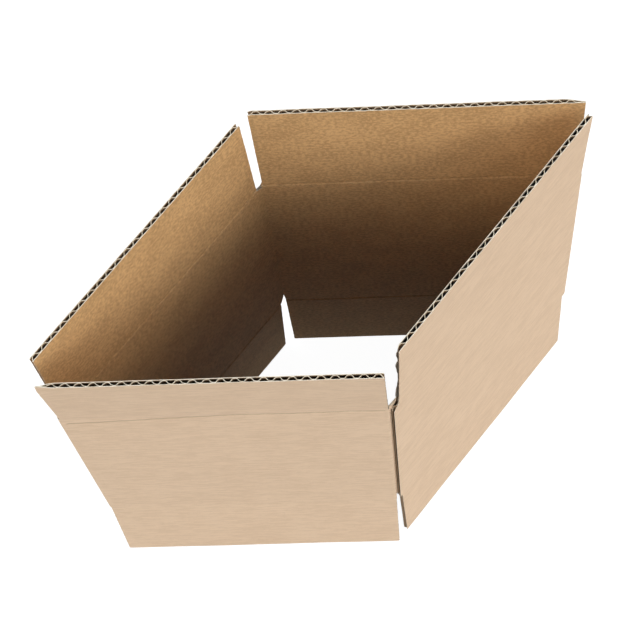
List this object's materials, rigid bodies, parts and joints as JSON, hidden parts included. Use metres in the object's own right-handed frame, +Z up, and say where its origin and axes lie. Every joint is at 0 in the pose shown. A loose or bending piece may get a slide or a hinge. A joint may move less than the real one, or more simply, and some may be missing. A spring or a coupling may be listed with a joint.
{
  "type": "corrugated shipping box",
  "caption": "Plain kraft corrugated shipping box glued into a tube, half opened from flat into a skewed parallelogram, with hinged flaps open at both ends.",
  "frame": {"origin": "middle of the footprint of the open flaps, on the surface that the box stands on", "axes": "+Z up along the flutes, towards the top flaps; the front panel and its flaps face -Y; +X to the right seen from the front"},
  "size_m": [0.2648, 0.1366, 0.3087],
  "materials": {
    "kraft_board": "matt uncoated kraft, paler outside than inside"
  },
  "bodies": {
    "tube": {"tube": "kraft_board"},
    "top_flap_front": {"top_flap_front": "kraft_board"},
    "top_flap_right": {"top_flap_right": "kraft_board"},
    "top_flap_back": {"top_flap_back": "kraft_board"},
    "top_flap_left": {"top_flap_left": "kraft_board"},
    "bottom_flap_front": {"bottom_flap_front": "kraft_board"},
    "bottom_flap_right": {"bottom_flap_right": "kraft_board"},
    "bottom_flap_back": {"bottom_flap_back": "kraft_board"},
    "bottom_flap_left": {"bottom_flap_left": "kraft_board"}
  },
  "joints": [
    {"name": "top_flap_front_score", "type": "hinge", "parent": "tube", "child": "top_flap_front", "pos_m": [-0.04816, -0.06015, 0.23564], "axis": [1, 0, 0], "range_deg": [-6.4, 168.6]},
    {"name": "top_flap_right_score", "type": "hinge", "parent": "tube", "child": "top_flap_right", "pos_m": [0.08383, 0.00246, 0.23564], "axis": [0.6341, 0.7733, 0], "range_deg": [-1.5, 173.5]},
    {"name": "top_flap_back_score", "type": "hinge", "parent": "tube", "child": "top_flap_back", "pos_m": [0.04971, 0.0644, 0.23564], "axis": [-1, 0, 0], "range_deg": [-3.05, 171.95]},
    {"name": "top_flap_left_score", "type": "hinge", "parent": "tube", "child": "top_flap_left", "pos_m": [-0.08203, 0.00259, 0.23564], "axis": [-0.6341, -0.7733, 0], "range_deg": [-2, 173]},
    {"name": "bottom_flap_front_score", "type": "hinge", "parent": "tube", "child": "bottom_flap_front", "pos_m": [-0.04874, -0.06015, 0.07304], "axis": [-1, 0, 0], "range_deg": [-3.7, 171.3]},
    {"name": "bottom_flap_right_score", "type": "hinge", "parent": "tube", "child": "bottom_flap_right", "pos_m": [0.08245, 0.00077, 0.07304], "axis": [-0.6341, -0.7733, 0], "range_deg": [-1.2, 173.8]},
    {"name": "bottom_flap_back_score", "type": "hinge", "parent": "tube", "child": "bottom_flap_back", "pos_m": [0.04963, 0.0644, 0.07304], "axis": [1, 0, 0], "range_deg": [-2.05, 172.95]},
    {"name": "bottom_flap_left_score", "type": "hinge", "parent": "tube", "child": "bottom_flap_left", "pos_m": [-0.08209, 0.00251, 0.07304], "axis": [0.6341, 0.7733, 0], "range_deg": [-2.7, 172.3]}
  ]
}
